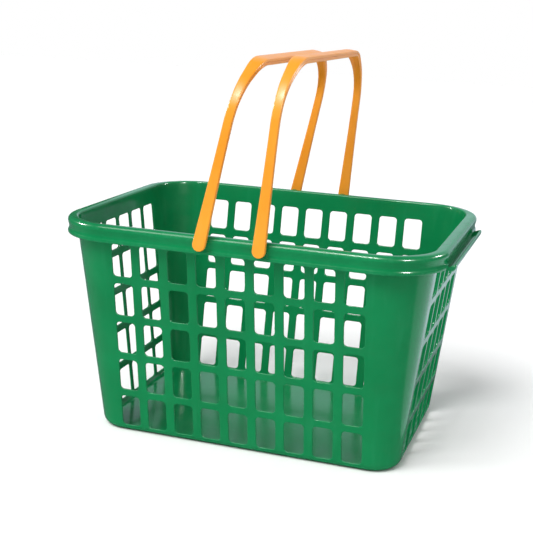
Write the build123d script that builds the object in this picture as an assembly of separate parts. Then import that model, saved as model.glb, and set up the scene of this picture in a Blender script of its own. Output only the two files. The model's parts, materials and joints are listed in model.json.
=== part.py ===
from build123d import *
import math
import os

# Hand shopping basket: a moulded tub with a turned-over rim, and two bail handles that swing on studs
# through the rim's skirt.  Millimetres, +Z up, +X along the long side, the origin under the tub's middle
# on the plane that it stands on.  The handles are drawn raised, as they are carried to the hand.

# ---- Tub -----------------------------------------------------------------------------------------------
HEIGHT = 246.0                  # from the floor that it stands on to the rim's crest
BASE_HALF = (174.5, 115.3)      # half length and half depth of the outer wall, at the bottom
TOP_HALF = (200.5, 152.6)       # the same at the rim's crest
BASE_CORNER = 32.0              # plan radius of the outer wall's corners, at the bottom
TOP_CORNER = 55.0               # the same at the rim's crest
WALL = 2.4                      # wall thickness, measured level
FLOOR = 2.6                     # floor thickness
FLOOR_EDGE = 6.0                # height where the floor pan's turned-up edge ends and the walls start
FLOOR_ROUND = 5.0               # rounding under the floor pan's edge

# ---- Openings in the walls -----------------------------------------------------------------------------
ROWS = 5
ROW_PITCH = 45.06
FIRST_ROW = 8.0                 # bottom of the lowest row
HOLE_HEIGHT = 36.6
HOLE_CORNER = 4.0
SIDE_COLUMNS = 9
SIDE_PITCH = 32.0
SIDE_HOLE = 22.0
END_COLUMNS = 5
END_PITCH = 34.0
END_HOLE = 28.0

# ---- Where the tub's walls end and its corners start ---------------------------------------------------
SIDE_REACH = 140.5              # half length of the flat side walls
END_REACH = 83.2                # half depth of the flat end walls
FAR = 300.0                     # past everything

# ---- Rim -----------------------------------------------------------------------------------------------
RIM_HALF = (211.0, 160.0)       # half length and half depth over the skirt
RIM_CORNER = 66.0
SKIRT_BOTTOM = 227.0
FLANGE = 2.6                    # thickness of the rim's level top
FLANGE_UNDER = HEIGHT - FLANGE
RIM_ROUND = 4.5                 # rounding of the rim's outer shoulder
RIM_SIDE_REACH = 144.0
RIM_END_REACH = 93.0

# ---- Upturned lip on each short end --------------------------------------------------------------------
LIP_REACH = 98.0                # half depth of the lip
LIP_BOTTOM = 223.0
LIP_TOP = 231.0
LIP_GAP = 5.0                   # width of the trough between the skirt and the lip

# ---- Handles -------------------------------------------------------------------------------------------
PIVOT_X = 32.0
PIVOT_Z = 238.8
LEFT_LEAN = 11.8                # lean of each raised handle towards +X, in degrees
RIGHT_LEAN = 4.8
FOOT_RADIUS = 6.9
FOOT_FACE = 168.6               # half depth over the feet
ARM_THICK = 5.4
GRIP_THICK = 7.0
BAIL_HEIGHT = 190.7             # from the pivot to the grip's top
SHOULDER = (164.7, 158.0)       # half depth and height where an arm's line meets the shoulder's line
GRIP_CORNER = 116.0             # half depth where the shoulder's line meets the grip's top
ARM_BEND = 62.0                 # outer radius from the arm to the shoulder
GRIP_BEND = 56.0                # outer radius from the shoulder to the grip
ARM_TOP = 126.0                 # height above the pivot where the straight arm ends
GRIP_REACH = 96.0               # half depth of the straight grip
HALF_WIDTHS = ((0.0, 6.9), (40.0, 5.9), (90.0, 4.9), (125.0, 4.6), (160.0, 5.6), (182.0, 7.5))

# ---- Pivot studs ---------------------------------------------------------------------------------------
STUD_RADIUS = 3.0
STUD_CLEARANCE = 0.05
HEAD_RADIUS = 4.2
HEAD_THICK = 2.0
RUNNING_GAP = 0.3               # between parts that move past each other
PAD_GAP = 0.5                   # between a foot, which leans in a little, and the pad behind it
PAD_FACE = FOOT_FACE - ARM_THICK - PAD_GAP
SKIRT_INNER = RIM_HALF[1] - WALL


def outline(half, radius, z):
    """A rounded rectangle of the given half sizes at height z."""
    return Plane.XY.offset(z) * RectangleRounded(2 * half[0], 2 * half[1], radius)


def tapered(inset, bottom, top):
    """The tub's tapered body between two heights, drawn in by inset all round."""
    sections = []
    for z in (bottom, top):
        share = z / HEIGHT
        half = [base + (crest - base) * share - inset for base, crest in zip(BASE_HALF, TOP_HALF)]
        radius = BASE_CORNER + (TOP_CORNER - BASE_CORNER) * share - inset
        sections.append(outline(half, radius, z))
    return loft(sections, ruled=True)


def block(x_range, y_range, z_range):
    """A box between the given limits."""
    size = [high - low for low, high in (x_range, y_range, z_range)]
    middle = [(low + high) / 2 for low, high in (x_range, y_range, z_range)]
    return Pos(*middle) * Box(*size)


def wall_shell():
    """The whole tapered wall, from the floor pan's edge to under the rim."""
    outer = tapered(0.0, FLOOR_EDGE, FLANGE_UNDER)
    return outer - tapered(WALL, FLOOR_EDGE - 1.0, FLANGE_UNDER + 1.0)


def flat_wall(base, crest, reach, columns, pitch, width):
    """A leaning wall on the +X side with its grid of openings; base and crest are its outer half sizes."""
    low = base + (crest - base) * FLOOR_EDGE / HEIGHT
    high = base + (crest - base) * FLANGE_UNDER / HEIGHT
    outer_line = [(low, FLOOR_EDGE), (high, FLANGE_UNDER)]
    inner_line = [(high - WALL, FLANGE_UNDER), (low - WALL, FLOOR_EDGE)]
    section = make_face(Plane.XZ * Polyline(*outer_line, *inner_line, close=True))
    wall = extrude(section, reach, both=True)
    opening = extrude(Plane.YZ * RectangleRounded(width, HOLE_HEIGHT, HOLE_CORNER), FAR)
    for column in range(columns):
        y = (column - (columns - 1) / 2) * pitch
        for row in range(ROWS):
            wall -= Pos(0, y, FIRST_ROW + HOLE_HEIGHT / 2 + row * ROW_PITCH) * opening
    return wall


def side_wall(side):
    """One long wall; side is -1 for the front, 1 for the back."""
    wall = flat_wall(BASE_HALF[1], TOP_HALF[1], SIDE_REACH, SIDE_COLUMNS, SIDE_PITCH, SIDE_HOLE)
    return Rot(0, 0, side * 90) * wall


def end_wall(side):
    """One short wall; side is -1 for the left, 1 for the right."""
    wall = flat_wall(BASE_HALF[0], TOP_HALF[0], END_REACH, END_COLUMNS, END_PITCH, END_HOLE)
    return Rot(0, 0, 90 - side * 90) * wall


def corner_post(shell, x_side, y_side):
    """One plain rounded corner of the tub."""
    return shell & block(
        sorted((x_side * SIDE_REACH, x_side * FAR)), sorted((y_side * END_REACH, y_side * FAR)), (0.0, HEIGHT)
    )


def floor_pan():
    """The solid floor with its rounded, turned-up edge."""
    pan = tapered(0.0, 0.0, FLOOR_EDGE)
    pan = fillet(pan.faces().sort_by(Axis.Z)[0].edges(), FLOOR_ROUND)
    return pan - tapered(WALL, FLOOR, FLOOR_EDGE + 1.0)


def rim_ring():
    """The rim all round: a level top turned out from the wall, and the skirt that hangs from it."""
    body = extrude(outline(RIM_HALF, RIM_CORNER, SKIRT_BOTTOM), HEIGHT - SKIRT_BOTTOM)
    body = fillet(body.faces().sort_by(Axis.Z)[-1].edges(), RIM_ROUND)
    under = [half - WALL for half in RIM_HALF]
    body -= extrude(outline(under, RIM_CORNER - WALL, SKIRT_BOTTOM - 1.0), FLANGE_UNDER - SKIRT_BOTTOM + 1.0)
    return body - tapered(WALL, FLANGE_UNDER - 1.0, HEIGHT + 1.0)


def along_y(radius, y_from, y_to, x=0.0, z=0.0):
    """A cylinder whose axis is parallel to Y."""
    disc = Plane.XZ.offset(-y_from) * Pos(x, z) * Circle(radius)
    return extrude(disc, y_from - y_to)


def rim_side(ring, side):
    """The rim over one long wall, with a raised pad and a stud hole for each handle."""
    piece = ring & block((-RIM_SIDE_REACH, RIM_SIDE_REACH), sorted((0.0, side * FAR)), (0.0, HEIGHT))
    for x in (-PIVOT_X, PIVOT_X):
        piece += along_y(FOOT_RADIUS, side * SKIRT_INNER, side * PAD_FACE, x, PIVOT_Z)
        piece -= along_y(STUD_RADIUS + STUD_CLEARANCE, side * (SKIRT_INNER - 1.0), side * FAR, x, PIVOT_Z)
    return piece


def rim_end(ring, side):
    """The rim over one short wall."""
    return ring & block(sorted((0.0, side * FAR)), (-RIM_END_REACH, RIM_END_REACH), (0.0, HEIGHT))


def rim_corner(ring, x_side, y_side):
    """One rounded corner of the rim."""
    x_range = sorted((x_side * RIM_SIDE_REACH, x_side * FAR))
    y_range = sorted((y_side * RIM_END_REACH, y_side * FAR))
    return ring & block(x_range, y_range, (0.0, HEIGHT))


def end_lip(side):
    """The trough under one short end: down from the skirt, out, and up into a free lip."""
    skirt = RIM_HALF[0]
    free = skirt + LIP_GAP
    y_range = (-LIP_REACH, LIP_REACH)
    leg = block(sorted((side * (skirt - WALL), side * skirt)), y_range, (LIP_BOTTOM, SKIRT_BOTTOM))
    web = block(sorted((side * (skirt - WALL), side * (free + WALL))), y_range, (LIP_BOTTOM, LIP_BOTTOM + WALL))
    lip = block(sorted((side * free, side * (free + WALL))), y_range, (LIP_BOTTOM, LIP_TOP))
    return leg + web + lip


def meet(start, direction, other, other_direction):
    """Where two lines in a plane cross, each given by a point and a direction."""
    cross = direction[0] * other_direction[1] - direction[1] * other_direction[0]
    gap = (other[0] - start[0], other[1] - start[1])
    reach = (gap[0] * other_direction[1] - gap[1] * other_direction[0]) / cross
    return (start[0] + direction[0] * reach, start[1] + direction[1] * reach)


def drawn_in(point, direction, amount):
    """A point moved to the right of a direction of travel, which is towards the inside of the bail."""
    length = math.hypot(*direction)
    return (point[0] + direction[1] / length * amount, point[1] - direction[0] / length * amount)


def bail_band():
    """The bail seen from the end: a band of arm, shoulder, grip, shoulder and arm, in the YZ plane."""
    foot = (-FOOT_FACE, -FOOT_RADIUS)
    shoulder = (-SHOULDER[0], SHOULDER[1])
    corner = (-GRIP_CORNER, BAIL_HEIGHT)
    arm_line = (shoulder[0] + FOOT_FACE, shoulder[1])
    slope = (corner[0] - shoulder[0], corner[1] - shoulder[1])
    level = (1.0, 0.0)
    inner_arm = drawn_in((-FOOT_FACE, 0.0), arm_line, ARM_THICK)
    inner_slope = drawn_in(shoulder, slope, (ARM_THICK + GRIP_THICK) / 2)
    inner_top = (0.0, BAIL_HEIGHT - GRIP_THICK)
    inner_foot = meet(inner_arm, arm_line, foot, level)
    inner_shoulder = meet(inner_arm, arm_line, inner_slope, slope)
    inner_corner = meet(inner_slope, slope, inner_top, level)
    outside = [foot, shoulder, corner]
    inside = [inner_foot, inner_shoulder, inner_corner]
    outer_radii = [ARM_BEND, GRIP_BEND, GRIP_BEND, ARM_BEND]
    inner_radii = [ARM_BEND - ARM_THICK, GRIP_BEND - GRIP_THICK, GRIP_BEND - GRIP_THICK, ARM_BEND - ARM_THICK]
    outer = FilletPolyline(*outside, *mirrored(outside), radius=outer_radii)
    inner = FilletPolyline(*inside, *mirrored(inside), radius=inner_radii)
    ends = [Line(outer @ 0, inner @ 0), Line(outer @ 1, inner @ 1)]
    return make_face(Plane.YZ * (Curve() + [outer, inner, *ends]))


def mirrored(points):
    """The same points on the other half of the bail, in reverse order."""
    return [(-y, z) for y, z in reversed(points)]


def bail_front():
    """The bail seen from the front: a strap that narrows up the arm and widens into the grip."""
    right = [(width, height) for height, width in HALF_WIDTHS]
    left = [(-x, z) for x, z in right]
    top = BAIL_HEIGHT + 1.0
    right_edge = Spline(*right, tangents=[(-0.03, 1.0), (0.0, 1.0)])
    left_edge = Spline(*left, tangents=[(0.03, 1.0), (0.0, 1.0)])
    foot = ThreePointArc(left[0], (0.0, -FOOT_RADIUS), right[0])
    cap = Polyline(right[-1], (right[-1][0], top), (left[-1][0], top), left[-1])
    return make_face(Plane.XZ * (Curve() + [right_edge, left_edge, foot, cap]))


def bail():
    """The whole bail, upright, with its pivot axis along Y through the origin."""
    band = extrude(bail_band(), FAR / 4, both=True)
    front = extrude(bail_front(), FAR, both=True)
    return band & front


def bail_pieces(whole):
    """The bail cut at the ends of its bends: two arms, two shoulders and the grip."""
    pieces = {}
    pieces["grip"] = whole & block((-FAR, FAR), (-GRIP_REACH, GRIP_REACH), (ARM_TOP, FAR))
    for name, side in (("front", -1), ("back", 1)):
        y_arm = sorted((0.0, side * FAR))
        y_shoulder = sorted((side * GRIP_REACH, side * FAR))
        pieces[name + "_arm"] = whole & block((-FAR, FAR), y_arm, (-FAR, ARM_TOP))
        pieces[name + "_shoulder"] = whole & block((-FAR, FAR), y_shoulder, (ARM_TOP, FAR))
        pieces[name + "_stud"] = pivot_stud(side) - whole
    return pieces


def pivot_stud(side):
    """The stud inside one foot, which runs through the skirt to a snap head behind it."""
    root = side * (PAD_FACE + PAD_GAP)
    shoulder = side * (SKIRT_INNER - RUNNING_GAP)
    end = side * (SKIRT_INNER - RUNNING_GAP - HEAD_THICK)
    return along_y(STUD_RADIUS, root, shoulder) + along_y(HEAD_RADIUS, shoulder, end)


def save(node, shape):
    """Write one node as a STEP file."""
    shape.label = node
    export_step(shape, os.path.join("parts", node + ".step"))


def main():
    os.makedirs("parts", exist_ok=True)
    save("floor_pan", floor_pan())
    shell = wall_shell()
    ring = rim_ring()
    for name, side in (("front", -1), ("back", 1)):
        save(name + "_wall", side_wall(side))
        save(name + "_rim", rim_side(ring, side))
    for name, side in (("left", -1), ("right", 1)):
        save(name + "_end_wall", end_wall(side))
        save(name + "_end_rim", rim_end(ring, side))
        save(name + "_end_lip", end_lip(side))
        for y_name, y_side in (("front", -1), ("back", 1)):
            save(name + "_" + y_name + "_corner", corner_post(shell, side, y_side))
            save(name + "_" + y_name + "_rim_corner", rim_corner(ring, side, y_side))
    pieces = bail_pieces(bail())
    for name, x, lean in (("left", -PIVOT_X, LEFT_LEAN), ("right", PIVOT_X, RIGHT_LEAN)):
        for piece, shape in pieces.items():
            save(name + "_handle_" + piece, Pos(x, 0, PIVOT_Z) * Rot(0, lean, 0) * shape)


main()
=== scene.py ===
# %% [markdown]
# # A hand shopping basket
#
# The basket is three plastic mouldings: a tapered tub with a grid of windows in every wall and a rim
# turned over like a hem, and two bail handles that swing on studs through the rim.  The measured model is
# loaded first.  Everything made here goes where that model says, so nothing has to be fitted by eye.

# %% Load the measured model
import json

import bmesh
import bpy
import numpy as np
from mathutils import Matrix, Vector

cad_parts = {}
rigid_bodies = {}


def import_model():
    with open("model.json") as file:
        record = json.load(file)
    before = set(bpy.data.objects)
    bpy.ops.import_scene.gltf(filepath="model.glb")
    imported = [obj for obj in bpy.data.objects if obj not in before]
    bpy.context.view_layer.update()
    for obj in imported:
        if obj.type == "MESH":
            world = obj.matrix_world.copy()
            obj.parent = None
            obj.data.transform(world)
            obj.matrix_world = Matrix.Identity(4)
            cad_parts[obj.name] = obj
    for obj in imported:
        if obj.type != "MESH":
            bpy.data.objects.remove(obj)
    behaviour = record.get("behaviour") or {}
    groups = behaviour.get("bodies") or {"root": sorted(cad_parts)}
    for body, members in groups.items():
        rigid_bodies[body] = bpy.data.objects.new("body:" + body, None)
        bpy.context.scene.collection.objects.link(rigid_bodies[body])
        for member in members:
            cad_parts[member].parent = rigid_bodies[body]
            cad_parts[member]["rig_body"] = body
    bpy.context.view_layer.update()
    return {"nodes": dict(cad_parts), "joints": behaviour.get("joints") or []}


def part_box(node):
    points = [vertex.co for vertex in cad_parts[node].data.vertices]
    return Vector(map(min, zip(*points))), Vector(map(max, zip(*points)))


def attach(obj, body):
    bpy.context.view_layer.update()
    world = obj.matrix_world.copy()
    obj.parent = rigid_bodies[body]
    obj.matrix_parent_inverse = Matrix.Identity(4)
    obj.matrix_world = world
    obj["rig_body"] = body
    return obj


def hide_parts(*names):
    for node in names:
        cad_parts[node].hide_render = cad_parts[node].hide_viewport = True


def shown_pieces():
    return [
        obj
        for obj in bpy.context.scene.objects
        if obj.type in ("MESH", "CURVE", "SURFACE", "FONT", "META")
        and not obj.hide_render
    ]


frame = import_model()
MM = 0.001

# %% [markdown]
# ## Taking sizes from the model
#
# A box round a node tells how far it reaches.  The tub's crest, its base, its rim and the handles' feet all
# come from such boxes.  What a box can't tell, such as how sharply a corner is rounded in plan, is written
# down here as a named length.

# %% Sizes of the tub
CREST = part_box("front_rim")[1].z
SKIRT_HALF = np.array([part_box("right_end_rim")[1].x, 160.0 * MM])
SKIRT_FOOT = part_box("front_rim")[0].z
CREST_HALF = np.array([200.5, 152.6]) * MM
BASE_HALF = np.array([174.5, 115.3]) * MM
BASE_CORNER, CREST_CORNER, SKIRT_CORNER = 32.0 * MM, 55.0 * MM, 66.0 * MM
WALL = 2.4 * MM
FLOOR = 2.6 * MM
print("crest", round(CREST / MM, 1), "skirt foot", round(SKIRT_FOOT / MM, 1), "skirt half", SKIRT_HALF / MM)

# %% Sizes of the windows
ROWS, ROW_PITCH, FIRST_ROW, WINDOW_HEIGHT = 5, 45.06 * MM, 8.0 * MM, 36.6 * MM
COLUMNS = (9, 5)
PITCH = (32.0 * MM, 34.0 * MM)
WINDOW_WIDTH = (22.0 * MM, 28.0 * MM)
WINDOW_CORNER = 4.0 * MM
EDGE = 0.9 * MM
print("windows:", COLUMNS, "columns by", ROWS, "rows; pitches in mm:", np.round([*PITCH, ROW_PITCH], 5) / MM)

# %% [markdown]
# ## The tub's outline
#
# Seen from above, the tub is a rounded rectangle at every height, larger towards the top.  One function
# walks along that outline.  It takes a distance from the middle of a wall, and goes straight, then round
# the corner, then straight again.  Every surface of the tub is made from it, so they all meet exactly.


# %% Walk along a rounded rectangle
def outline(wall, along, half_x, half_y, corner):
    """Points (x, y) at a distance along the outline from the middle of a wall, going anticlockwise.

    Wall 0 is the front, 1 the right, 2 the back and 3 the left.  In the wall's own frame, with a across
    it and b outwards, a point on the straight is (along, b of the wall).  Past the straight's end the
    angle is (along - straight) / corner, and the point is the corner's centre plus corner times
    (sin, cos) of the angle.  Past a quarter turn it goes straight back along the next wall.
    """
    across, out = (half_x, half_y) if wall % 2 == 0 else (half_y, half_x)
    side, reach = np.sign(along), np.abs(along)
    straight = across - corner
    angle = np.clip((reach - straight) / corner, 0.0, np.pi / 2)
    beyond = np.maximum(reach - straight - corner * np.pi / 2, 0.0)
    a = side * (np.minimum(reach, straight) + corner * np.sin(angle))
    b = out - corner + corner * np.cos(angle) - beyond
    turn = np.array([(1, 0, 0, -1), (0, 1, 1, 0), (-1, 0, 0, 1), (0, -1, -1, 0)][wall])
    return a * turn[0] + b * turn[1], a * turn[2] + b * turn[3]


def ring_shape(height, hem, offset):
    """Half sizes and corner radius of the outline at a height.

    hem 0 is the leaning wall, whose sizes grow in proportion to the height; hem 1 is the rim's upright
    skirt; in between is a mixture.  offset moves the outline straight outwards.
    """
    share = height / CREST
    wall_x, wall_y = (BASE_HALF[i] + (CREST_HALF[i] - BASE_HALF[i]) * share for i in (0, 1))
    corner = BASE_CORNER + (CREST_CORNER - BASE_CORNER) * share
    half_x = wall_x + (SKIRT_HALF[0] - wall_x) * hem + offset
    half_y = wall_y + (SKIRT_HALF[1] - wall_y) * hem + offset
    return half_x, half_y, corner + (SKIRT_CORNER - corner) * hem + offset


def tub_points(wall, along, height, hem, offset):
    """Points (..., 3) of the tub: the outline of ring_shape at that height, walked by outline."""
    along, height, hem, offset = np.broadcast_arrays(along, height, hem, offset)
    x, y = outline(wall, along, *ring_shape(height, hem, offset))
    return np.stack([x, y, height], axis=-1)


# %% [markdown]
# ## Where the mesh lines run
#
# Each window sits in a cell as wide as the column pitch and as tall as the row pitch.  The lines round a
# cell are shared with its neighbours, with the plain corners and with the rim and floor, so those lines
# are worked out once.  A side of a cell has seven points: its ends, a point beside each end, the two
# ends of the window's straight edge, and the middle.


# %% Lines shared by neighbouring cells
def cell_line(pitch, window):
    """Seven places along one side of a cell, from -pitch / 2 to pitch / 2, in line with its window."""
    straight = window / 2 - WINDOW_CORNER
    beside = (pitch / 2 + straight) / 2
    return np.array([-pitch / 2, -beside, -straight, 0.0, straight, beside, pitch / 2])


def chain(line, pitch, count):
    """The places of a row of cells joined end to end, centred on 0."""
    centres = (np.arange(count) - (count - 1) / 2) * pitch
    return np.append((centres[:, None] + line[None, :-1]).ravel(), count * pitch / 2)


WALL_LINES = [chain(cell_line(PITCH[k], WINDOW_WIDTH[k]), PITCH[k], COLUMNS[k]) for k in (0, 1)]
ROW_LINE = cell_line(ROW_PITCH, WINDOW_HEIGHT)
ROW_MIDDLES = FIRST_ROW + WINDOW_HEIGHT / 2 + np.arange(ROWS) * ROW_PITCH
CELL_FOOT = 6.5 * MM
LEVELS = np.append((ROW_MIDDLES[:, None] + ROW_LINE[None, :-1]).ravel(), ROW_MIDDLES[-1] + ROW_PITCH / 2)
LEVELS[0] = CELL_FOOT
LEVELS[1] = (CELL_FOOT + LEVELS[2]) / 2
CORNER_STEPS = 24
print("columns of points:", 2 * sum(len(w) - 1 for w in WALL_LINES) + 4 * CORNER_STEPS)


def corner_along(wall, height, hem, offset):
    """Distances from the middle of a wall to points evenly round the corner where it ends, ends included."""
    half_x, half_y, corner = ring_shape(height, hem, offset)
    across, following = (half_x, half_y) if wall % 2 == 0 else (half_y, half_x)
    start = WALL_LINES[wall % 2][-1]
    stop = across - corner + corner * np.pi / 2 + following - corner - WALL_LINES[1 - wall % 2][-1]
    share = np.linspace(0.0, 1.0, CORNER_STEPS + 1)
    return start + (stop - start)[..., None] * share


# %% [markdown]
# ## How the wall is rounded at its foot
#
# A moulded tub has no sharp edge where its wall meets the floor.  The outside is a quarter round that
# starts below the windows, and the inside has a smaller one.  Both are written as how far the surface
# moves inwards at a height.

# %% The rounded foot of the wall
FOOT_ROUND = 9.0 * MM
COVE = 6.0 * MM


def quarter_round(height, foot, radius):
    """How far a quarter round that stands on foot has come in at a height: r - sqrt(r^2 - (r - h)^2)."""
    drop = np.clip(radius - (height - foot), 0.0, radius)
    return radius - np.sqrt(radius ** 2 - drop ** 2)


def skin_offset(height, depth):
    """Offset of a point between the wall's outer face, at depth 0, and its inner face, at depth WALL."""
    outer = quarter_round(height, 0.0, FOOT_ROUND)
    inner = WALL + quarter_round(height, FLOOR, COVE)
    return -(outer + (inner - outer) * depth / WALL)


# %% [markdown]
# ## Turning arrays into a mesh
#
# A patch is a grid of points, and its faces join each point to the next in both directions.  Patches are
# laid one after another into one long list.  Points that two patches share are merged at the end, which
# closes the surface.


# %% Collect patches, then make one mesh
def grid_faces(rows, columns, wrap=False):
    """Quads of a grid as an (n, 4) array of point numbers; wrap joins the last column to the first."""
    number = np.arange(rows * columns).reshape(rows, columns)
    if wrap:
        number = np.concatenate([number, number[:, :1]], axis=1)
    return np.stack([number[:-1, :-1], number[:-1, 1:], number[1:, 1:], number[1:, :-1]], -1).reshape(-1, 4)


class Patches:
    """A growing list of points, quads and one wear value per point."""

    def __init__(self):
        self.points, self.quads, self.wear, self.count = [], [], [], 0

    def add(self, points, quads, wear=0.0, flip=False):
        points = np.asarray(points, float)
        flat = points.reshape(-1, 3)
        self.points.append(flat)
        self.quads.append((quads[:, ::-1] if flip else quads) + self.count)
        self.wear.append(np.broadcast_to(wear, points.shape[:-1]).ravel())
        self.count += len(flat)

    def grid(self, points, wrap=False, wear=0.0, flip=False):
        self.add(points, grid_faces(points.shape[0], points.shape[1], wrap), wear, flip)

    def build(self, name, merge=2e-6):
        """One smooth-shaded object, with points closer than merge joined and empty faces removed."""
        mesh = bpy.data.meshes.new(name)
        mesh.from_pydata(np.concatenate(self.points), [], np.concatenate(self.quads).tolist())
        layer = mesh.attributes.new("wear", "FLOAT", "POINT")
        layer.data.foreach_set("value", np.concatenate(self.wear).astype(np.float32))
        work = bmesh.new()
        work.from_mesh(mesh)
        bmesh.ops.remove_doubles(work, verts=work.verts, dist=merge)
        bmesh.ops.dissolve_degenerate(work, dist=merge / 2, edges=work.edges)
        open_edges = sum(1 for edge in work.edges if len(edge.link_faces) != 2)
        volume = work.calc_volume(signed=True)
        work.to_mesh(mesh)
        work.free()
        mesh.shade_smooth()
        piece = bpy.data.objects.new(name, mesh)
        bpy.context.scene.collection.objects.link(piece)
        print(name, "faces:", len(mesh.polygons), "open edges:", open_edges, "cm3:", round(volume * 1e6, 1))
        return piece


# %% [markdown]
# ## One window
#
# A window is more than a hole.  Its edge is rounded outside and inside, because a mould can't make a knife
# edge, and that rounding is what catches the light.  So a cell is a profile carried round the window:
# along the outer face, round the edge, through the wall, round again and out along the inner face.


# %% Rings of points round one window
def window_ring(width, height, grow):
    """24 points round the window, moved outwards by grow, anticlockwise from the lower left corner.

    Each corner is an arc of radius WINDOW_CORNER + grow in four steps, counted from its 45 degree point,
    and the straights between them have a point in the middle.
    """
    radius = WINDOW_CORNER + grow
    cx, cy = width / 2 - WINDOW_CORNER, height / 2 - WINDOW_CORNER
    lean = np.radians([45.0, 22.5, 0.0])
    out, down = radius * np.sin(lean), radius * np.cos(lean)
    bottom_x = np.concatenate([-cx - out, [0.0], cx + out[::-1]])
    bottom_y = np.concatenate([-cy - down, [-cy - radius], -cy - down[::-1]])
    right_y = np.concatenate([-cy - out, [0.0], cy + out[::-1]])
    right_x = np.concatenate([cx + down, [cx + radius], cx + down[::-1]])
    x = np.concatenate([bottom_x[:-1], right_x[:-1], -bottom_x[:-1], -right_x[:-1]])
    y = np.concatenate([bottom_y[:-1], right_y[:-1], -bottom_y[:-1], -right_y[:-1]])
    return x, y


def cell_ring(line_x, line_y):
    """24 points round the cell's outer rectangle, in the same order as window_ring."""
    x = np.concatenate([line_x[:-1], np.full(6, line_x[-1]), -line_x[:-1], np.full(6, line_x[0])])
    y = np.concatenate([np.full(6, line_y[0]), line_y[:-1], np.full(6, line_y[-1]), -line_y[:-1]])
    return x, y


def cell_profile(kind):
    """Arrays (rings, 24) of x, y and depth for one cell, from its outer border to its inner border."""
    border = cell_ring(cell_line(PITCH[kind], WINDOW_WIDTH[kind]), ROW_LINE)
    angle = np.radians([0.0, 30.0, 60.0, 90.0])
    grow = np.concatenate([[EDGE + 0.4 * MM], EDGE * (1 - np.sin(angle))])
    sink = np.concatenate([[0.0], EDGE * (1 - np.cos(angle))])
    grow, sink = np.concatenate([grow, grow[::-1]]), np.concatenate([sink, WALL - sink[::-1]])
    rings = [window_ring(WINDOW_WIDTH[kind], WINDOW_HEIGHT, g) for g in grow]
    x = np.array([border[0]] + [r[0] for r in rings] + [border[0]])
    y = np.array([border[1]] + [r[1] for r in rings] + [border[1]])
    depth = np.concatenate([[0.0], sink, [WALL]])
    wear = np.isin(np.arange(len(x)), (3, 4)).astype(float)
    return x, y, np.broadcast_to(depth[:, None], x.shape), np.broadcast_to(wear[:, None], x.shape)


# %% All the windows of one wall
def add_windows(tub, wall):
    """Lays a cell at every column and row of a wall, as one array (columns, rows, rings, 24, 3)."""
    kind = wall % 2
    x, y, depth, wear = cell_profile(kind)
    centres = (np.arange(COLUMNS[kind]) - (COLUMNS[kind] - 1) / 2) * PITCH[kind]
    along = centres[:, None, None, None] + x
    height = ROW_MIDDLES[:, None, None] + y
    # The lowest cells are cut short at CELL_FOOT, so their lower border follows LEVELS.
    lowest = height[0]
    border = np.array([0, -1])
    lowest[border] = np.interp(lowest[border], ROW_MIDDLES[0] + ROW_LINE, LEVELS[:7])
    height = np.broadcast_to(height, (COLUMNS[kind], *height.shape))
    along = np.broadcast_to(along, height.shape)
    points = tub_points(wall, along, height, 0.0, skin_offset(height, depth))
    faces = grid_faces(len(x), 24, wrap=True)
    cells = COLUMNS[kind] * ROWS
    quads = (np.arange(cells)[:, None, None] * x.size + faces[None]).reshape(-1, 4)
    tub.add(points, quads, np.broadcast_to(wear, points.shape[:-1]))


# %% [markdown]
# ## The plain corners, the floor and the rim
#
# The corners have no windows, so each is a simple grid between two walls.  Above and below the windows
# the surface goes right round the tub, so there a profile, seen in section, is carried round the
# outline.  The floor's profile runs in to the middle, under and over.  The rim's goes up the outside of
# the wall, out under the flange, down inside the skirt, round its bead, up the hollow band to the
# rounded shoulder, over the crest and down the inside.


# %% Plain corners
def add_corner(tub, wall, depth, flip):
    """The corner to the right of a wall, between the lowest and the highest cell line, on one face."""
    offset = skin_offset(LEVELS, depth)
    along = corner_along(wall, LEVELS, 0.0, offset)
    points = tub_points(wall, along, LEVELS[:, None], 0.0, offset[:, None])
    tub.grid(points, flip=flip)


# %% Carry a profile right round the tub
def round_the_tub(height, hem, offset):
    """Points (profile, columns, 3) of a profile of (height, hem, offset) carried along all four walls."""
    height, hem, offset = (np.atleast_1d(v).astype(float) for v in np.broadcast_arrays(height, hem, offset))
    parts = []
    for wall in range(4):
        line = np.broadcast_to(WALL_LINES[wall % 2], (len(height), len(WALL_LINES[wall % 2])))
        corner = corner_along(wall, height, hem, offset)
        for along in (line, corner):
            parts.append(tub_points(wall, along[:, :-1], height[:, None], hem[:, None], offset[:, None]))
    return np.concatenate(parts, axis=1)


def arc(start, stop, steps):
    """Angles in radians from start to stop degrees, ends included."""
    return np.radians(np.linspace(start, stop, steps + 1))


# %% Floor, from its rounded edge to the middle
CROWN = 1.2 * MM
ARCH = 0.6 * MM


def add_floor(tub):
    """The underside and the floor: a quarter round, then rings that shrink to a point.

    With q from 1 at the edge to 0 in the middle, a ring is q times the edge's ring, and its height
    is raised by CROWN or ARCH times 1 - q squared.
    """
    under = arc(np.degrees(np.arcsin(1 - CELL_FOOT / FOOT_ROUND)), 90.0, 8)
    outer = round_the_tub(FOOT_ROUND * (1 - np.sin(under)), 0.0, -FOOT_ROUND * (1 - np.cos(under)))
    over = arc(np.degrees(np.arcsin(1 - (CELL_FOOT - FLOOR) / COVE)), 90.0, 8)
    inner = round_the_tub(FLOOR + COVE * (1 - np.sin(over)), 0.0, -WALL - COVE * (1 - np.cos(over)))
    share = np.array([0.985, 0.95, 0.9, 0.8, 0.65, 0.5, 0.35, 0.2, 0.1, 0.0])
    for edge, rise, flip in ((outer, ARCH, True), (inner, CROWN, False)):
        inside = edge[-1][None] * share[:, None, None]
        inside[..., 2] = edge[-1, 0, 2] + rise * (1 - share[:, None] ** 2)
        wear = np.zeros(len(edge) + len(share))
        if flip:
            wear[2:len(edge) + 2] = 1.0
        tub.grid(np.concatenate([edge, inside]), wrap=True, wear=wear[:, None], flip=flip)


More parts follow.
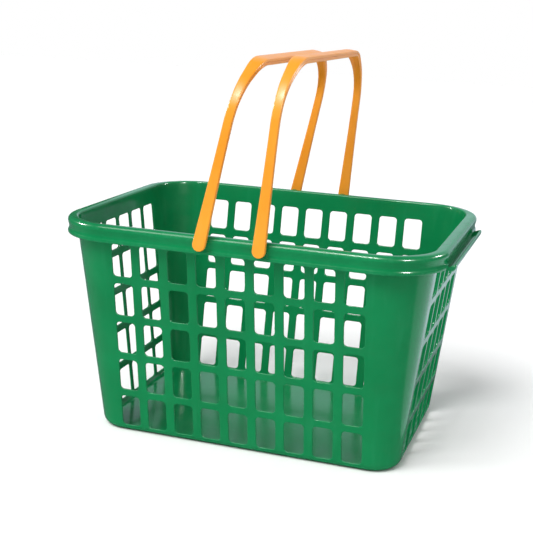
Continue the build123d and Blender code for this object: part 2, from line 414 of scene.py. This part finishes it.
# %% The rim's profile, in section
FLANGE_UNDER = CREST - 2.6 * MM
UNDER_RIM, SKIRT_MIDDLE, RIM_INSIDE = 236.0 * MM, 232.0 * MM, 239.0 * MM


def rim_profile():
    """The rim's section as arrays (height, hem, offset, wear), from the wall's outer face to its inner.

    Straight runs are their end points.  Each rounding is centre + radius times (cos, sin) of an angle,
    with offset across and height up; the hollow band is a cosine dip between bead and shoulder.
    """
    rows = [(LEVELS[-1], 0.0, 0.0, 0), (UNDER_RIM, 0.0, 0.0, 0)]
    cove = 1.5 * MM
    for a in arc(0, 90, 3):
        rows.append((FLANGE_UNDER - cove + cove * np.sin(a), 0.0, cove * (1 - np.cos(a)), 0))
    for a in arc(0, 90, 3):
        rows.append((FLANGE_UNDER - cove + cove * np.cos(a), 1.0, -WALL - cove * (1 - np.sin(a)), 0))
    bead, inner = 1.35 * MM, -WALL
    rows.append((UNDER_RIM, 1.0, inner, 0))
    rows.append((SKIRT_MIDDLE, 1.0, inner, 0))
    for a in arc(180, 360, 8):
        rows.append((SKIRT_FOOT + bead + bead * np.sin(a), 1.0, -bead + bead * np.cos(a), 1))
    rows.append((SKIRT_FOOT + 2.2 * MM, 1.0, 0.0, 1))
    low, high, dip = SKIRT_FOOT + 2.9 * MM, CREST - 5.6 * MM, 1.25 * MM
    for t in np.linspace(0.0, 1.0, 13):
        shape = np.sin(np.pi * t ** 0.75) ** 1.2
        rows.append((low + (high - low) * t, 1.0, -dip * shape, 0.6 * (t < 0.2)))
    shoulder = 5.2 * MM
    for a in arc(8, 90, 8):
        rows.append((CREST - shoulder + shoulder * np.sin(a), 1.0, -shoulder + shoulder * np.cos(a), 1))
    inner_round = 2.0 * MM
    for a in arc(90, 180, 5):
        offset = -WALL + inner_round + inner_round * np.cos(a)
        rows.append((CREST - inner_round + inner_round * np.sin(a), 0.0, offset, 0.7))
    rows.append((RIM_INSIDE, 0.0, -WALL, 0))
    rows.append((LEVELS[-1], 0.0, -WALL, 0))
    return [np.array(column, float) for column in zip(*rows)]


def add_rim(tub):
    """Carries the rim's profile round the tub."""
    height, hem, offset, wear = rim_profile()
    tub.grid(round_the_tub(height, hem, offset), wrap=True, wear=wear[:, None], flip=False)


# %% Make the tub
tub_patches = Patches()
for wall in range(4):
    add_windows(tub_patches, wall)
    add_corner(tub_patches, wall, 0.0, False)
    add_corner(tub_patches, wall, WALL, True)
add_floor(tub_patches)
add_rim(tub_patches)
tub = tub_patches.build("tub")
tub_nodes = [n for n in sorted(frame["nodes"]) if frame["nodes"][n]["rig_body"] == "basket" and "lip" not in n]
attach(tub, "basket")
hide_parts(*tub_nodes)


# %% [markdown]
# ## The end lips
#
# Under the rim at each short end hangs a shallow trough with an upturned lip.  In section it is a strip
# bent like a J.  It is made as a closed band: its outer line and its inner line, joined round a thin
# edge, and carried along the end.  Towards both ends it draws in, so that it runs out of the rim instead
# of being cut off.

# %% Make the end lips
LIP_LOW, LIP_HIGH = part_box("right_end_lip")
LIP_FADE = 5.0 * MM


def j_section():
    """The J in section, closed, as (out, height) arrays: half a turn of an ellipse with rounded tips.

    The middle line is (out, height) = (c - rx cos t, low + rz (1 - sin t)) and the strip is half its
    thickness to each side of it, with a half circle at either end.
    """
    half = 1.1 * MM
    inner, outer = SKIRT_HALF[0] - WALL / 2, LIP_HIGH.x - half
    low = LIP_LOW.z + half
    turn = np.linspace(0.0, np.pi, 13)
    middle_x = (inner + outer) / 2 - (outer - inner) / 2 * np.cos(turn)
    rise = np.where(turn < np.pi / 2, SKIRT_FOOT + 1.0 * MM - low, LIP_HIGH.z - half - low)
    middle_z = low + rise * (1 - np.sin(turn) ** 0.8)
    step_x, step_z = np.gradient(middle_x), np.gradient(middle_z)
    length = np.hypot(step_x, step_z)
    side_x, side_z = step_z / length * half, -step_x / length * half
    tip = np.arctan2(side_z[-1], side_x[-1]) + np.linspace(0, np.pi, 7)[1:-1]
    root = np.arctan2(-side_z[0], -side_x[0]) + np.linspace(0, np.pi, 7)[1:-1]
    x = [middle_x + side_x, middle_x[-1] + half * np.cos(tip), (middle_x - side_x)[::-1],
         middle_x[0] + half * np.cos(root)]
    z = [middle_z + side_z, middle_z[-1] + half * np.sin(tip), (middle_z - side_z)[::-1],
         middle_z[0] + half * np.sin(root)]
    return np.concatenate(x), np.concatenate(z)


def end_lip_points():
    """The section carried along Y: near each end it shrinks towards the skirt's foot as a quarter circle."""
    x, z = j_section()
    along = np.sin(np.linspace(-np.pi / 2, np.pi / 2, 49)) * LIP_HIGH.y
    fade = np.clip((LIP_HIGH.y - np.abs(along)) / LIP_FADE, 0.0, 1.0)
    share = np.sqrt(1 - (1 - fade) ** 2)
    anchor_x, anchor_z = SKIRT_HALF[0] - WALL / 2, SKIRT_FOOT + 0.6 * MM
    points = np.empty((len(along), len(x), 3))
    points[..., 0] = anchor_x + (x - anchor_x) * share[:, None]
    points[..., 1] = along[:, None]
    points[..., 2] = anchor_z + (z - anchor_z) * share[:, None]
    return points


for side, name in ((1, "right"), (-1, "left")):
    lip_patches = Patches()
    points = end_lip_points() * np.array([side, 1, 1])
    lip_patches.grid(points, wrap=True, wear=0.5, flip=side > 0)
    lip = lip_patches.build(name + "_end_lip_moulding", merge=1e-6)
    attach(lip, "basket")
    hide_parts(name + "_end_lip")

# %% [markdown]
# ## The pads under the handles' feet
#
# A foot mustn't rub on the whole skirt, so a small round pad stands out from it behind each foot, with
# the stud's hole through it.  A pad is a ring turned round the stud's axis.

# %% Make the pads
PIVOTS = {joint["child"]: Vector(joint["pos_m"]) for joint in frame["joints"]}
PAD_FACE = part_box("front_rim")[0].y
PAD_RADIUS, BORE = 6.9 * MM, 3.05 * MM


def pad_points(pivot, side):
    """A washer: a closed section (radius, depth) turned once round the pivot's axis."""
    lip = 0.5 * MM
    base, face = SKIRT_HALF[1] - 1.4 * MM, -PAD_FACE
    radius = np.array([BORE, BORE, BORE + lip, PAD_RADIUS - lip, PAD_RADIUS - 0.15 * MM, PAD_RADIUS, PAD_RADIUS])
    depth = np.array([base, face - lip, face, face, face - 0.15 * MM, face - lip, base])
    turn = np.linspace(0, 2 * np.pi, 41)[:-1]
    points = np.empty((len(radius), len(turn), 3))
    points[..., 0] = pivot.x + radius[:, None] * np.cos(turn)
    points[..., 1] = side * depth[:, None]
    points[..., 2] = pivot.z + radius[:, None] * np.sin(turn)
    return np.concatenate([points, points[:1]])


pad_patches = Patches()
for pivot in PIVOTS.values():
    for side in (-1, 1):
        pad_patches.grid(pad_points(pivot, side), wrap=True, wear=0.3, flip=side < 0)
pads = pad_patches.build("stud_pads", merge=1e-6)
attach(pads, "basket")

# %% [markdown]
# ## The handles
#
# A handle is one long strap.  Its foot is round, its arm narrows as it rises, and it widens again into
# the grip, whose edges are turned down so that it doesn't cut the hand.  So it is a section carried along
# a path: the path is the strap's outer face seen from the end of the basket, and the section changes
# from a rounded bar in the arm to a shallow channel in the grip.

# %% The strap's path
FOOT_FACE = 168.6 * MM
FOOT_RADIUS = 6.9 * MM
SHOULDER = np.array([164.7, 158.0]) * MM
GRIP_CORNER = np.array([116.0, 190.7]) * MM
BENDS = (62.0 * MM, 56.0 * MM)
ARM_THICK, GRIP_THICK = 5.4 * MM, 7.0 * MM


def fillet_points(before, corner, after, radius, steps):
    """Points and directions round the arc that rounds a corner: centre + radius (cos, sin) of the angle."""
    first, second = corner - before, after - corner
    first, second = first / np.linalg.norm(first), second / np.linalg.norm(second)
    bend = np.arccos(np.clip(first @ second, -1, 1))
    start = corner - first * radius * np.tan(bend / 2)
    left = np.array([-first[1], first[0]]) * np.sign(first[0] * second[1] - first[1] * second[0])
    turn = np.linspace(0, bend, steps + 1)[:, None]
    points = start + radius * (first * np.sin(turn) + left * (1 - np.cos(turn)))
    return points, first * np.cos(turn) + left * np.sin(turn)


def half_path():
    """The outer face from the foot's tip to the middle of the grip: points and directions (n, 2)."""
    foot = np.array([FOOT_FACE, -FOOT_RADIUS])
    rise = (SHOULDER - foot) / np.linalg.norm(SHOULDER - foot)
    low_bend, low_way = fillet_points(foot, SHOULDER, GRIP_CORNER, BENDS[0], 14)
    high_bend, high_way = fillet_points(SHOULDER, GRIP_CORNER, np.array([0.0, GRIP_CORNER[1]]), BENDS[1], 10)
    tip = FOOT_RADIUS * (1 - np.cos(np.linspace(0, np.pi / 2, 11)))
    arm = np.linspace(FOOT_RADIUS, np.linalg.norm(low_bend[0] - foot), 22)
    straight = foot + rise * np.concatenate([tip, arm[1:-1]])[:, None]
    slope = low_bend[-1] + (high_bend[0] - low_bend[-1]) * np.linspace(0, 1, 4)[1:-1, None]
    grip = high_bend[-1] * np.linspace(1, 0, 20)[1:, None] * np.array([1, 0]) + np.array([0, GRIP_CORNER[1]])
    way = [np.tile(rise, (len(straight), 1)), low_way, np.tile(low_way[-1], (len(slope), 1)), high_way,
           np.tile([-1.0, 0.0], (len(grip), 1))]
    return np.concatenate([straight, low_bend, slope, high_bend, grip]), np.concatenate(way)


# %% The strap's section
WIDTH_HEIGHTS = np.array([0.0, 40.0, 90.0, 125.0, 160.0, 182.0, 190.7]) * MM
HALF_WIDTHS = np.array([6.9, 5.9, 4.9, 4.6, 4.9, 6.3, 7.6]) * MM
GRIP_START, GRIP_BLEND = 120.0 * MM, 90.0 * MM
GROOVE, HOLLOW, FACE_CROWN = 0.75 * MM, 3.0 * MM, 0.5 * MM
STRAP_EDGE = 1.3 * MM


def smooth_through(x, known_x, known_y):
    """A smooth curve through known points: between two of them, a cubic with the slopes at both ends."""
    slope = np.gradient(known_y, known_x)
    i = np.clip(np.searchsorted(known_x, x) - 1, 0, len(known_x) - 2)
    gap = known_x[i + 1] - known_x[i]
    t = np.clip((x - known_x[i]) / gap, 0, 1)
    rise = known_y[i] * (1 + 2 * t) * (1 - t) ** 2 + known_y[i + 1] * t * t * (3 - 2 * t)
    return rise + gap * (slope[i] * t * (1 - t) ** 2 - slope[i + 1] * t * t * (1 - t))


def rounded_bar(half_width, low, high, radius):
    """64 points round a rounded rectangle: (across, depth) with depth from low, the outer face, to high."""
    cx, cz = half_width - radius, (high - low) / 2 - radius
    middle = (high + low) / 2
    bend = np.linspace(0, np.pi / 2, 5)
    run = np.linspace(-1, 1, 13)[1:-1]
    zeros = np.zeros_like
    x = np.concatenate([radius * np.sin(bend), zeros(run) + radius, radius * np.cos(bend), zeros(run),
                        -radius * np.sin(bend), zeros(run) - radius, -radius * np.cos(bend), zeros(run)])
    corner_x = np.repeat([1, 1, 1, 0, -1, -1, -1, 0], [5, 11, 5, 11, 5, 11, 5, 11]).astype(float)
    corner_x[21:32], corner_x[53:64] = -run, run
    z = np.concatenate([-radius * np.cos(bend), zeros(run), radius * np.sin(bend), zeros(run) + radius,
                        radius * np.cos(bend), zeros(run), -radius * np.sin(bend), zeros(run) - radius])
    corner_z = np.repeat([-1, 0, 1, 1, 1, 0, -1, -1], [5, 11, 5, 11, 5, 11, 5, 11]).astype(float)
    corner_z[5:16], corner_z[37:48] = run, -run
    return corner_x * cx + x, middle + corner_z * cz + z


def strap_points(pivot, lean):
    """Points (stations, 64, 3) of a whole handle, mirrored about its middle and leaned about its pivot.

    A point is the path's point, plus the section's depth times the inward direction, plus the section's
    width along X.  The section is a rounded bar.  Its half width follows the height, and in the foot it
    is the square root of R squared minus (R - distance from the tip) squared, a half circle.  A blend
    from 0 in the arm to 1 in the grip brings in a groove along both edges (a bell curve of the depth), a
    hollow underneath (1 minus the fourth power of the width) and a crowned face (the width squared).
    """
    path, way = half_path()
    inward = np.stack([way[:, 1], -way[:, 0]], -1) * -1
    height = path[:, 1]
    half_width = smooth_through(np.maximum(height, 0), WIDTH_HEIGHTS, HALF_WIDTHS)
    from_tip = np.linalg.norm(path - path[0], axis=1)
    tip = from_tip < FOOT_RADIUS
    half_width[tip] = np.sqrt(np.maximum(FOOT_RADIUS ** 2 - (FOOT_RADIUS - from_tip[tip]) ** 2, 0))
    length = np.concatenate([[0], np.cumsum(np.linalg.norm(np.diff(path, axis=0), axis=1))])
    grip = np.clip((length - GRIP_START) / GRIP_BLEND, 0, 1)
    grip = grip * grip * (3 - 2 * grip)
    thick = ARM_THICK + (GRIP_THICK - ARM_THICK) * grip
    edge = STRAP_EDGE
    pinch = edge - np.sqrt(np.maximum(edge ** 2 - np.maximum(edge - from_tip, 0) ** 2, 0))
    radius = np.minimum(edge, np.maximum(half_width, 0.0) * 0.9)
    across, depth = np.empty((len(path), 64)), np.empty((len(path), 64))
    for i in range(len(path)):
        across[i], depth[i] = rounded_bar(half_width[i], pinch[i] * 0.8, thick[i] - pinch[i] * 0.8, radius[i])
    share = depth / thick[:, None]
    across_share = np.abs(across) / np.maximum(half_width[:, None], 1e-9)
    groove = GROOVE * np.exp(-((share - 0.52) / 0.12) ** 2) * (across_share > 0.5)
    across = across - np.sign(across) * groove * grip[:, None]
    hollow = HOLLOW * np.clip(1 - (across_share / 0.72) ** 4, 0, 1) * (share > 0.5)
    depth = depth - hollow * grip[:, None]
    crown = FACE_CROWN * across_share ** 2 * (share < 0.5)
    depth = depth + crown * grip[:, None]
    points = np.empty((len(path), 64, 3))
    points[..., 0] = across
    points[..., 1] = path[:, None, 0] + depth * inward[:, None, 0]
    points[..., 2] = path[:, None, 1] + depth * inward[:, None, 1]
    other = points[::-1][1:] * np.array([1, -1, 1])
    whole = np.concatenate([points, other])
    c, s = np.cos(np.radians(lean)), np.sin(np.radians(lean))
    turned = whole @ np.array([[c, 0, -s], [0, 1, 0], [s, 0, c]])
    return turned + np.array(pivot)


HANDLE_LEANS = {"left_handle": 11.8, "right_handle": 4.8}
STRAP_WEAR = np.where(np.arange(64) % 16 < 5, 0.3, 0.0)
for body, pivot in PIVOTS.items():
    strap_patches = Patches()
    strap_patches.grid(strap_points(pivot, HANDLE_LEANS[body]), wrap=True, wear=STRAP_WEAR, flip=True)
    strap = strap_patches.build(body + "_strap", merge=1e-6)
    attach(strap, body)
    parts = ["grip"] + [end + "_" + part for end in ("front", "back") for part in ("arm", "shoulder")]
    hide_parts(*[body + "_" + part for part in parts])
    low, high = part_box(body + "_grip")
    print(body, "CAD grip:", [round(v / MM, 1) for v in (*low, *high)])

# %% [markdown]
# ## Finishes
#
# Both colours are the same kind of material, a glossy injection-moulded plastic.  Nothing about it is
# perfectly even.  Its colour drifts a little, faint flow lines run up the walls, its surface ripples, and
# it is scuffed in patches.  Rounded edges carry a "wear" number, and there it is paler and duller.


# %% Moulded plastic
def moulded_plastic(name, shades, worn, rough):
    """A glossy plastic: shades are its two nearly equal colours, worn its colour along the edges."""
    material = bpy.data.materials.new(name)
    material.use_nodes = True
    nodes, links = material.node_tree.nodes, material.node_tree.links
    shader = nodes["Principled BSDF"]
    place = nodes.new("ShaderNodeTexCoord")
    edge = nodes.new("ShaderNodeAttribute")
    edge.attribute_name = "wear"

    def noise(scale, detail, stretch=(1.0, 1.0, 1.0)):
        """A noise in the object's own space, stretched along the axes."""
        mapping = nodes.new("ShaderNodeMapping")
        mapping.inputs["Scale"].default_value = stretch
        texture = nodes.new("ShaderNodeTexNoise")
        texture.inputs["Scale"].default_value = scale
        texture.inputs["Detail"].default_value = detail
        links.new(place.outputs["Object"], mapping.inputs["Vector"])
        links.new(mapping.outputs["Vector"], texture.inputs["Vector"])
        return texture.outputs["Fac"]

    def spread(value, low, high, to_low, to_high):
        """The value's range from low to high, carried over to another range and held there."""
        node = nodes.new("ShaderNodeMapRange")
        for socket, number in zip(("From Min", "From Max", "To Min", "To Max"), (low, high, to_low, to_high)):
            node.inputs[socket].default_value = number
        links.new(value, node.inputs["Value"])
        return node.outputs["Result"]

    def sum_or_product(kind, first, second):
        """Two numbers added or multiplied."""
        node = nodes.new("ShaderNodeMath")
        node.operation = kind
        links.new(first, node.inputs[0])
        links.new(second, node.inputs[1])
        return node.outputs["Value"]

    def mixed(factor, first, second):
        """A mixture of a colour, or of an earlier mixture, with a colour."""
        node = nodes.new("ShaderNodeMix")
        node.data_type = "RGBA"
        if isinstance(first, tuple):
            node.inputs["A"].default_value = (*first, 1)
        else:
            links.new(first, node.inputs["A"])
        node.inputs["B"].default_value = (*second, 1)
        links.new(factor, node.inputs["Factor"])
        return node.outputs["Result"]

    def bump(height, distance, strength, normal=None):
        """A bump on top of an earlier one."""
        node = nodes.new("ShaderNodeBump")
        node.inputs["Distance"].default_value = distance
        node.inputs["Strength"].default_value = strength
        links.new(height, node.inputs["Height"])
        if normal is not None:
            links.new(normal, node.inputs["Normal"])
        return node.outputs["Normal"]

    cloud = noise(16.0, 4.0)
    flow = noise(90.0, 3.0, (1.0, 1.0, 0.07))
    chips = noise(260.0, 5.0)
    scuffs = noise(34.0, 7.0, (1.0, 1.0, 1.8))
    rubbed = sum_or_product("MULTIPLY", edge.outputs["Fac"], spread(chips, 0.35, 0.7, 0.12, 1.0))
    colour = mixed(spread(cloud, 0.3, 0.7, 0.0, 1.0), *shades)
    colour = mixed(spread(flow, 0.56, 0.8, 0.0, 0.1), colour, worn)
    colour = mixed(spread(rubbed, 0.0, 1.0, 0.0, 0.14), colour, worn)
    links.new(colour, shader.inputs["Base Color"])
    patchy = spread(scuffs, 0.45, 0.75, rough, rough + 0.1)
    links.new(sum_or_product("ADD", patchy, spread(rubbed, 0.0, 1.0, 0.0, 0.06)), shader.inputs["Roughness"])
    rippled = bump(noise(40.0, 1.0), 0.5 * MM, 0.1)
    links.new(bump(noise(1100.0, 2.0), 0.02 * MM, 0.1, rippled), shader.inputs["Normal"])
    shader.inputs["Specular IOR Level"].default_value = 0.3
    print(name, "roughness", rough, "to", round(rough + 0.16, 2))
    return material


GREENS = ((0.0018, 0.188, 0.057), (0.0035, 0.23, 0.073))
ORANGES = ((0.93, 0.31, 0.014), (0.97, 0.37, 0.026))
green = moulded_plastic("green_polypropylene", GREENS, (0.05, 0.38, 0.19), 0.16)
orange = moulded_plastic("orange_polypropylene", ORANGES, (1.0, 0.5, 0.14), 0.3)
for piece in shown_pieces():
    piece.data.materials.clear()
    piece.data.materials.append(orange if "handle" in piece.name else green)

# %% [markdown]
# ## Studio
#
# The basket stands on a plain white floor in a white room.  Soft light falls from a high window at the
# front left, so the rim throws a shadow on the walls below it and the inside is darker than the outside.
# Small lamps at the sides and in front put bright points on the round corners and edges.  A cool panel
# behind the basket and a cool card on the floor beside it, both out of sight, are mirrored by the faces
# that are seen at a glancing angle.  Lamps, panel and card show in mirror directions only, and the floor
# and the room are dimmer there than they look, or the green would look milky.

# %% Room and floor
ROOM_LIGHT, ROOM_MIRRORED = 0.5, 0.06
bpy.context.scene.view_settings.view_transform = "Standard"
world = bpy.data.worlds.new("studio")
bpy.context.scene.world = world
world.use_nodes = True
room, room_links = world.node_tree.nodes, world.node_tree.links
rays = room.new("ShaderNodeLightPath")
seen = room.new("ShaderNodeMapRange")
seen.inputs["To Min"].default_value = ROOM_LIGHT
seen.inputs["To Max"].default_value = 1.0
room_links.new(rays.outputs["Is Camera Ray"], seen.inputs["Value"])
dimmed = room.new("ShaderNodeMapRange")
dimmed.inputs["To Min"].default_value = 1.0
dimmed.inputs["To Max"].default_value = ROOM_MIRRORED / ROOM_LIGHT
room_links.new(rays.outputs["Is Glossy Ray"], dimmed.inputs["Value"])
strength = room.new("ShaderNodeMath")
strength.operation = "MULTIPLY"
room_links.new(seen.outputs["Result"], strength.inputs[0])
room_links.new(dimmed.outputs["Result"], strength.inputs[1])
room["Background"].inputs["Color"].default_value = (1, 1, 1, 1)
room_links.new(strength.outputs["Value"], room["Background"].inputs["Strength"])

floor_mesh = bpy.data.meshes.new("studio_floor")
floor_mesh.from_pydata([(-6, -6, 0), (6, -6, 0), (6, 6, 0), (-6, 6, 0)], [], [(0, 1, 2, 3)])
studio_floor = bpy.data.objects.new("studio_floor", floor_mesh)
print("room light", ROOM_LIGHT, "and in mirror directions", ROOM_MIRRORED)
bpy.context.scene.collection.objects.link(studio_floor)
floor_material = bpy.data.materials.new("pale_floor")
floor_material.use_nodes = True
# Outside mirror directions the floor is an even pale grey. In mirror directions it is painted a dim blue-grey, a
# painted reflection, so the glossy faces mirror a dark, cool floor.
mirrored = floor_material.node_tree.nodes.new("ShaderNodeLightPath").outputs["Is Glossy Ray"]
floor_colour_and_painted_reflection = floor_material.node_tree.nodes.new("ShaderNodeMix")
floor_colour_and_painted_reflection.data_type = "RGBA"
floor_colour_and_painted_reflection.inputs["A"].default_value = (0.93, 0.93, 0.93, 1)
floor_colour_and_painted_reflection.inputs["B"].default_value = (0.1, 0.14, 0.17, 1)
floor_material.node_tree.links.new(mirrored, floor_colour_and_painted_reflection.inputs["Factor"])
floor_shader = floor_material.node_tree.nodes["Principled BSDF"]
floor_material.node_tree.links.new(floor_colour_and_painted_reflection.outputs["Result"], floor_shader.inputs["Base Color"])
floor_material.node_tree.nodes["Principled BSDF"].inputs["Roughness"].default_value = 0.8
floor_mesh.materials.append(floor_material)


# %% Lights
def softbox(name, location, size, power, colour=(1.0, 1.0, 1.0)):
    """A square area light that faces the basket."""
    light = bpy.data.lights.new(name, "AREA")
    light.shape, light.size, light.energy, light.color = "SQUARE", size, power, colour
    lamp = bpy.data.objects.new(name, light)
    lamp.location = location
    lamp.rotation_euler = (Vector((0, 0, 0.15)) - Vector(location)).to_track_quat("-Z", "Y").to_euler()
    bpy.context.scene.collection.objects.link(lamp)
    print(name, size, "m across,", power, "W")
    return lamp


sparks = [
    softbox("left_lamp", (-1.6, -0.3, 1.03), 0.16, 55),
    softbox("right_front_lamp", (1.16, -0.84, 1.05), 0.16, 40),
    softbox("right_back_lamp", (1.35, 0.85, 1.0), 0.16, 30),
    softbox("front_lamp", (-0.1, -1.11, 1.63), 0.2, 24),
]
cool_panel = softbox("cool_panel", (0.05, 1.6, 0.75), 2.2, 13.0, (0.72, 0.88, 1.0))
cool_card = softbox("cool_card", (0.7, 0.42, 0.004), 0.96, 2.6, (0.78, 0.9, 1.0))
cool_card.rotation_euler = (np.pi, 0.0, 0.0)
for lamp in (*sparks, cool_panel, cool_card):
    lamp.visible_camera = False
    lamp.visible_diffuse = False

sky = bpy.data.lights.new("high_window", "SUN")
sky.energy, sky.angle = 2.6, np.radians(34)
sky_lamp = bpy.data.objects.new("high_window", sky)
sky_lamp.rotation_euler = Vector((0.3, 0.62, -1.0)).to_track_quat("-Z", "Y").to_euler()
bpy.context.scene.collection.objects.link(sky_lamp)

# %% [markdown]
# ## Camera
#
# It looks down at the front from a little to the right, and is turned slightly about its own axis.

# %% Camera
CAMERA_PLACE = Vector((0.3617, -1.1519, 0.4826))
YAW, LOOK_DOWN, ROLL = np.radians(18.03), np.radians(13.98), np.radians(2.32)
camera_data = bpy.data.cameras.new("camera")
camera_data.lens = 72.5
camera = bpy.data.objects.new("camera", camera_data)
bpy.context.scene.collection.objects.link(camera)
bpy.context.scene.camera = camera
ahead = np.array([-np.sin(YAW) * np.cos(LOOK_DOWN), np.cos(YAW) * np.cos(LOOK_DOWN), -np.sin(LOOK_DOWN)])
right = np.array([np.cos(YAW), np.sin(YAW), 0.0])
up = np.cross(right, ahead)
right, up = np.cos(ROLL) * right + np.sin(ROLL) * up, -np.sin(ROLL) * right + np.cos(ROLL) * up
turn = Matrix(np.stack([right, up, -ahead], axis=1).tolist()).to_4x4()
camera.matrix_world = Matrix.Translation(CAMERA_PLACE) @ turn
print("camera", round(CAMERA_PLACE.length, 2), "m from the origin, lens", camera_data.lens, "mm")
